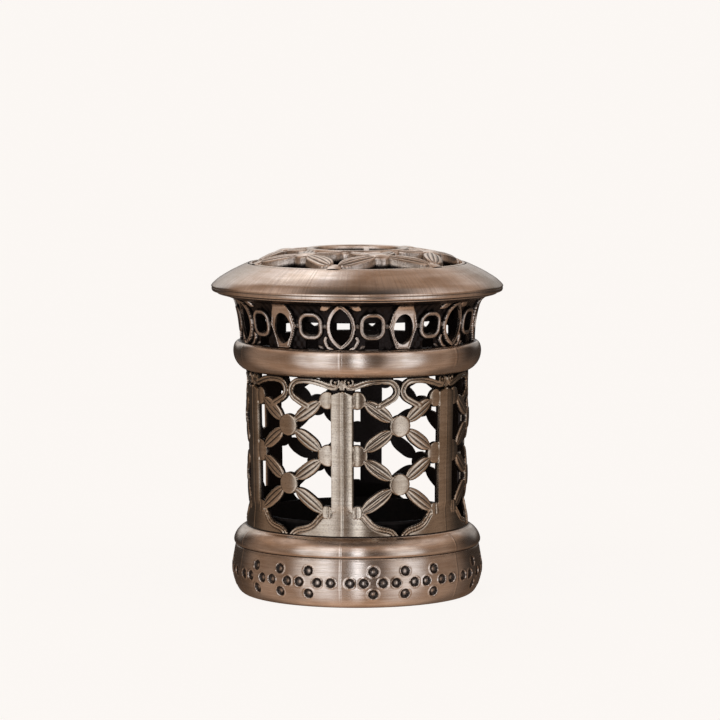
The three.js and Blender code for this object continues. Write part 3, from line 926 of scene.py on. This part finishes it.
def gallery_collar():
    """The pierced wall and the flange that carries the lid."""
    columns, rows = 960, 84
    outer, inner = gallery_profiles(rows)
    angle, z = np.broadcast_arrays(round_angles(columns), outer[None, :, 1])
    relief = gallery_relief(angle, z, outer[None, :, 0])
    fade = 1 - bump_step(z, 77.6, 78.2)
    height = relief.settle(WEB) * fade
    # The wall's top and the flange's underside are painted dark: painted shade under the lid's rim; only
    # the flange's outer edge stays lighter.
    dark = np.maximum(relief.dark, bump_step(z, 77.5, 77.9))
    dark = np.where(z > 78.3, 1 - 0.8 * bump_step(z, 78.82, 78.95), dark)
    front = round_axis(outer[None, :, 0] + height, angle, z)
    back = round_axis(inner[None, :, 0], angle, inner[None, :, 1])
    return sheet_mesh("gallery_collar_cast", front, back, relief.inside, dark, True)


# ---- lid ----
LID_SET = math.radians(-5)  # how far the lid is turned against the body
LIP_GROOVE = 80.46  # height of the groove
ROSETTE_THICK = 2.1
BEAD = 12.3  # radius of the bead round the rosette's hole
DOME_TOP = 89.85


def lid_ring():
    """The smooth domed ring, with a fine groove between its rim and its lower lip."""
    outer = smooth_line(
        (35.6, 79.55), (36.9, 79.48), (37.5, 79.42), (37.9, 79.52), (38.06, 79.75), (38.12, 80.05),
        (38.12, 80.3), (38.04, LIP_GROOVE), (38.14, 80.6), (38.2, 80.75), (38.08, 81.05),
        (37.4, 81.75), (36.4, 82.6), (35.0, 83.5), (33.3, 84.5), (31.9, 85.2), (30.4, 85.92),
        (29.3, 86.42), (28.8, 86.62),
        step=0.12,
    )
    inner = [(ROSETTE_EDGE + 0.12, 86.45), (ROSETTE_EDGE + 0.12, 84.2), (31.5, 82.9), (34.8, 81.0)]
    loop = closed_loop(outer, inner)
    radius, height = loop[None, :, 0], loop[None, :, 1]
    top = np.interp(radius, [28.8, 30.4, 33.3, 36.4, 38.2], [86.6, 85.9, 84.5, 82.7, 80.7])
    # The ring's underside and the inner part of its lower lip are painted dark: painted shade under the
    # lid.
    underside_shade = (height < top - 0.7) & (radius < 36.9)
    dark = np.maximum(0.9 * underside_shade, 0.8 * bump_step(-radius, -37.0, -36.7) * (height < 80.2))
    dark = np.maximum(dark, 0.6 * ridge(height, LIP_GROOVE, 0.17) * (radius > 37.5))
    dark = np.maximum(dark, 0.9 * bump_step(-radius, -ROSETTE_EDGE - 0.4, -ROSETTE_EDGE - 0.2))
    return lathe_mesh("lid_ring_cast", loop, 540, np.zeros((540, 1)), dark)


def dome(r):
    """Height of the rosette's face at a distance from the axis."""
    away = [11.0, 13.3, 17.0, 20.5, 23.0, 25.0, 27.0, 28.6]
    return np.interp(r, away, [89.75, DOME_TOP, 89.65, 89.25, 88.65, 87.95, 87.1, 86.45])


def polar(radius, angle):
    """The flat place at a radius and an angle."""
    return radius * math.sin(angle), -radius * math.cos(angle)


def rosette_relief(x, y, r):
    """Six studs, each with four ribbed leaves, between a beaded hole and the lid's ring."""
    relief = Relief(x.shape)
    inner, middle, outer = 12.6, 19.6, 27.3
    for i in range(PANELS):
        here = (i + 0.5) * PANEL_TURN + LID_SET
        stud = polar(middle, here)
        for side in (-PANEL_TURN / 2, PANEL_TURN / 2):
            for reach, half, trim in ((inner, 1.95, 0.12), (outer, 2.5, 0.1)):
                end = polar(reach, here + side)
                ends = [[s + (e - s) * t for s, e in zip(stud, end)] for t in (trim, 1 - trim)]
                inside, across = leaf(x, y, *ends, half)
                relief.put(inside, *ribbed(across, 0.1, 0.5, (0.0, 0.52), 0.15))
                relief.put(0.75 - from_line(x, y, [stud, end]), -0.3, 0.2, 0.7)
        d = np.hypot(x - stud[0], y - stud[1])
        # Each stud is darker round its edge: painted shade.
        relief.put(2.7 - d, 0.3 + 0.45 * crown(d, 2.7), 0.35, 0.5 * bump_step(d, 2.3, 2.7))
        for reach, size in ((outer, 1.9), (inner, 1.6)):
            place = polar(reach, i * PANEL_TURN + LID_SET)
            d = np.hypot(x - place[0], y - place[1])
            relief.put(size - d, 0.1 + 0.2 * crown(d, size), 0.35, 0.3)
    relief.put(1.1 - np.abs(r - BEAD), crown_top - DOME_TOP, 0.7)
    relief.put(r - 27.5, 0.0, 0.25)
    return relief


def lid_rosette():
    """The pierced middle of the lid."""
    columns, rows = 900, 92
    r = np.linspace(CROWN_HOLE - 0.2, ROSETTE_EDGE + 0.1, rows)[None, :]
    angle, r = np.broadcast_arrays(-round_angles(columns), r)
    x, y = r * np.sin(angle), -r * np.cos(angle)
    relief = rosette_relief(x, y, r)
    relief.inside = np.minimum(relief.inside, np.minimum(r - CROWN_HOLE, ROSETTE_EDGE - r))
    height = relief.settle(-0.5)
    dark = 0.75 * patina_and_shade_of(relief, True, 0.55)
    dark = np.maximum(dark, 0.9 * bump_step(r, ROSETTE_EDGE - 0.35, ROSETTE_EDGE - 0.1))
    front = round_axis(r, angle, dome(r) + height)
    back = round_axis(r, angle, dome(r) - ROSETTE_THICK)
    return sheet_mesh("lid_rosette_cast", front, back, relief.inside, dark, True, 0.15, 0.3)


def lid_skirt():
    """The band that hangs inside the gallery and keeps the lid in its place."""
    low, high = span("lid_skirt")
    outer, inner = 28.8, 27.4
    sides = [(outer - 0.2, low[2]), (outer, low[2] + 0.2), (outer, high[2] + 0.3)]
    loop = closed_loop(sides, [(inner, high[2] + 0.3), (inner, low[2] + 0.2), (inner + 0.2, low[2])], 0.5)
    return lathe_mesh("lid_skirt_ring", loop, 360, np.zeros((360, 1)), 0.85)


# ---- inside ----
def ash_pan():
    """A pressed pan: a deep well, a step all round it and a beaded rim."""
    low, high = span("ash_pan")
    bottom, rim, edge = low[2], high[2], high[0]
    well, step, wall = 21.3, 13.3, 0.9
    corners = [
        (0, bottom), (well - 1.2, bottom), (well - 0.3, bottom + 0.3), (well, bottom + 1.2),
        (well, step - 0.3), (well + 0.3, step), (edge - 1.1, step), (edge - 0.75, step + 0.3),
        (edge - 0.6, rim - 1.2), (edge - 0.2, rim - 0.9), (edge, rim - 0.5), (edge - 0.1, rim - 0.15),
        (edge - 0.5, rim), (edge - 1.1, rim), (edge - 1.4, rim - 0.3), (edge - 1.5, step + wall + 0.5),
        (edge - 1.9, step + wall), (well - 0.4, step + wall), (well - wall, step + wall - 0.5),
        (well - wall, bottom + wall + 0.8), (well - wall - 0.8, bottom + wall), (0, bottom + wall),
    ]
    return turned_mesh("ash_pan_pressed", np.array(corners, float), 240, sharp=60)


def fibre_mat():
    """A soft-edged mat with a rough face."""
    low, high = span("fibre_mat")
    edge, under, top = high[0], low[2], high[2]
    face = smooth_line((0, top), (edge * 0.5, top - 0.05), (edge - 0.9, top), step=0.6)[::-1]
    side = [(edge - 0.8, under), (edge - 0.3, under + 0.1), (edge, top - 0.7), (edge - 0.25, top - 0.2)]
    mesh = turned_mesh("fibre_mat_disc", np.vstack([[(0, under)], side, face]), 160, sharp=80)
    rough = np.random.default_rng(4).normal(0, 0.05 * MM, len(mesh.vertices)).clip(-0.1 * MM, 0.1 * MM)
    co = np.zeros(len(mesh.vertices) * 3, np.float32)
    mesh.vertices.foreach_get("co", co)
    co[2::3] += rough
    mesh.vertices.foreach_set("co", co)
    return mesh


def incense_holder():
    """A turned foot and a stem, bored for an incense stick."""
    low, high = span("incense_holder")
    z, top = low[2], high[2]
    line = [
        (0, z), (6.7, z), (7.0, z + 0.3), (7.0, z + 0.8), (6.7, z + 1.1), (4.4, z + 1.25), (3.3, z + 1.7),
        (2.8, z + 2.6), (2.45, top - 0.9), (2.3, top - 0.35), (1.95, top), (1.25, top), (1.1, top - 0.15),
        (1.1, z + 1.6), (0.9, z + 1.4), (0, z + 1.4),
    ]
    return turned_mesh("incense_holder_turned", np.array(line, float), 96, sharp=50)


place_piece(base_ring(), RINGS, "burner", "base_ring")
place_piece(base_plate(), COAT, "burner", "base_plate")
for number in (1, 2, 3):
    place_piece(base_screw(number), STEEL, "burner", f"base_screw_{number}")
lattice_panels()
place_piece(waist_ring(), RINGS, "burner", "waist_ring")
place_piece(gallery_collar(), CAST, "burner", "gallery_collar")
place_piece(lid_ring(), CAP, "lid", "lid_ring")
place_piece(lid_rosette(), CROWN_CAST, "lid", "lid_rosette")
place_piece(lid_skirt(), CAST, "lid", "lid_skirt")
place_piece(ash_pan(), COAT, "pan", "ash_pan")
place_piece(fibre_mat(), FIBRE, "pan", "fibre_mat")
place_piece(incense_holder(), BRASS, "pan", "incense_holder")


# ---- stage, light and camera ----
CAMERA_AZIMUTH = math.radians(7.7)
CAMERA_DISTANCE = 1.000
CAMERA_HEIGHT = 0.155
CAMERA_PITCH = math.radians(5.37)
CAMERA_LENS = 191.5
CAMERA_SHIFT = 2.8 / 720
FLOOR_HALF = 400.0
PAPER = (0.965, 0.921, 0.887)
# strips of light, as strip() in studio() takes them; those in front all have the same heights
FRONT_STRIPS = ((-40, 20, 7, 0.66), (-33, 7, 5, 0.42), (0.5, 4.5, 2, 1.6), (47, 15, 9, 0.86))
BACK_STRIPS = (
    (-168, 21, 8, 0.68, 0.08, 0.66),
    (-163, 11, 4, 1.8, 0.69, 0.84),
    (164, 18, 10, 0.36, 0.08, 0.66),
    (102, 24, 12, 0.30, 0.64, 0.92),
    (-108, 22, 10, 0.16, 0.64, 0.92),
)


def floor():
    """A pale sheet that runs to the horizon and mostly shines by itself, so that it stays even."""
    corners = [(-1, -1), (1, -1), (1, 1), (-1, 1)]
    mesh = bpy.data.meshes.new("floor")
    mesh.from_pydata([(x * FLOOR_HALF, y * FLOOR_HALF, 0) for x, y in corners], [], [(0, 1, 2, 3)])
    made = bpy.data.objects.new("floor", mesh)
    bpy.context.scene.collection.objects.link(made)
    material, tree, place = new_material("floor_paper")
    grain = noise(tree, place, 0.02, 2.0)
    colour = blend(tree, grain, (0.946, 0.919, 0.892), (0.952, 0.924, 0.897))
    glow = node(tree, "ShaderNodeEmission", {"Color": colour, "Strength": 1.085})
    paper = node(tree, "ShaderNodeBsdfDiffuse", {"Color": colour})
    share = node(tree, "ShaderNodeMixShader", {0: 0.12, 1: glow.outputs[0], 2: paper.outputs[0]})
    surface(tree, share)
    mesh.materials.append(material)
    made.visible_glossy = False


def studio():
    """A plain world: soft strips of light round the burner, darker between them."""
    world = bpy.data.worlds.new("studio")
    bpy.context.scene.world = world
    world.use_nodes = True
    tree = world.node_tree
    tree.nodes.clear()
    direction = node(tree, "ShaderNodeTexCoord").outputs["Generated"]
    x, y, z = node(tree, "ShaderNodeSeparateXYZ", {0: direction}).outputs
    angle = maths(tree, "ARCTAN2", x, times(tree, y, -1.0))

    def strip(centre, half, soft, strength, low, high, fade=0.08):
        """A strip of light: its middle, half width and soft edge in degrees round from the camera's
        side, its strength, and the heights it runs between, as the z of a direction."""
        off = maths(tree, "SUBTRACT", angle, CAMERA_AZIMUTH + math.radians(centre))
        off = maths(tree, "ABSOLUTE", maths(tree, "WRAP", off, math.pi, -math.pi))
        across = ramp(tree, off, math.radians(half - soft), math.radians(half + soft), 1.0, 0.0)
        up = ramp(tree, z, high - 0.08, high + 0.08, 1.0, 0.0)
        down = ramp(tree, z, low - fade, low + fade)
        return times(tree, times(tree, across, up), times(tree, down, strength))

    def added(*parts):
        """The sum of some parts."""
        total = parts[0]
        for more in parts[1:]:
            total = plus(tree, total, more)
        return total

    white = [strip(*sizes, -0.68, 0.75, 0.3) for sizes in FRONT_STRIPS]
    white += [strip(*sizes) for sizes in BACK_STRIPS]
    white = added(*white, 0.025)
    warm = added(
        times(tree, times(tree, ramp(tree, z, 0.25, 0.6), ramp(tree, z, 0.97, 0.86)), 0.20),
        times(tree, ramp(tree, z, -0.1, -0.5), 0.12),
        times(tree, ramp(tree, z, -0.72, -0.95), 0.28),
        strip(-5, 116, 17, 0.26, -1.2, 0.9),
        strip(180, 70, 20, 0.16, 0.5, 1.2),
        0.03,
    )
    shade = added(strip(17, 8, 5, 0.65, -0.6, 0.6), strip(-9, 4, 2, 0.5, -0.6, 0.6))
    warm = times(tree, warm, maths(tree, "SUBTRACT", 1.0, shade))
    strip_light = node(tree, "ShaderNodeBackground", {"Color": (0.90, 1.0, 1.12, 1.0), "Strength": white})
    warm_light = node(tree, "ShaderNodeBackground", {"Color": (1.0, 0.68, 0.49, 1.0), "Strength": warm})
    light = node(tree, "ShaderNodeAddShader", {0: strip_light.outputs[0], 1: warm_light.outputs[0]})
    paper = node(tree, "ShaderNodeBackground", {"Color": (*PAPER, 1.0), "Strength": 1.0})
    seen = node(tree, "ShaderNodeLightPath").outputs["Is Camera Ray"]
    mixed = node(tree, "ShaderNodeMixShader", {0: seen, 1: light.outputs[0], 2: paper.outputs[0]})
    node(tree, "ShaderNodeOutputWorld", {"Surface": mixed.outputs[0]})


def key_lamp():
    """A soft square lamp aimed at the middle of the burner."""
    distance = 0.7
    data = bpy.data.lights.new("key_lamp", "AREA")
    data.shape, data.size, data.energy = "SQUARE", 0.6, 0.14
    data.color = (1.0, 0.97, 0.94)
    made = bpy.data.objects.new("key_lamp", data)
    bpy.context.scene.collection.objects.link(made)
    a, e = CAMERA_AZIMUTH + math.radians(-38), math.radians(34)
    back = np.array([math.sin(a) * math.cos(e), -math.cos(a) * math.cos(e), math.sin(e)])
    made.location = back * distance + np.array([0, 0, 0.045])
    made.rotation_euler = (math.pi / 2 - e, 0, a)
    made.visible_camera = False


def camera():
    """The photograph's camera: a long lens, a little above the burner."""
    data = bpy.data.cameras.new("camera")
    data.lens, data.sensor_width = CAMERA_LENS, 36.0
    data.clip_start, data.clip_end = 0.05, 1000.0
    data.shift_x = CAMERA_SHIFT
    made = bpy.data.objects.new("camera", data)
    bpy.context.scene.collection.objects.link(made)
    made.location = (*polar(CAMERA_DISTANCE, CAMERA_AZIMUTH), CAMERA_HEIGHT)
    made.rotation_euler = (math.pi / 2 - CAMERA_PITCH, 0, CAMERA_AZIMUTH)
    bpy.context.scene.camera = made


floor()
studio()
key_lamp()
camera()
bpy.context.scene.view_settings.view_transform = "Standard"
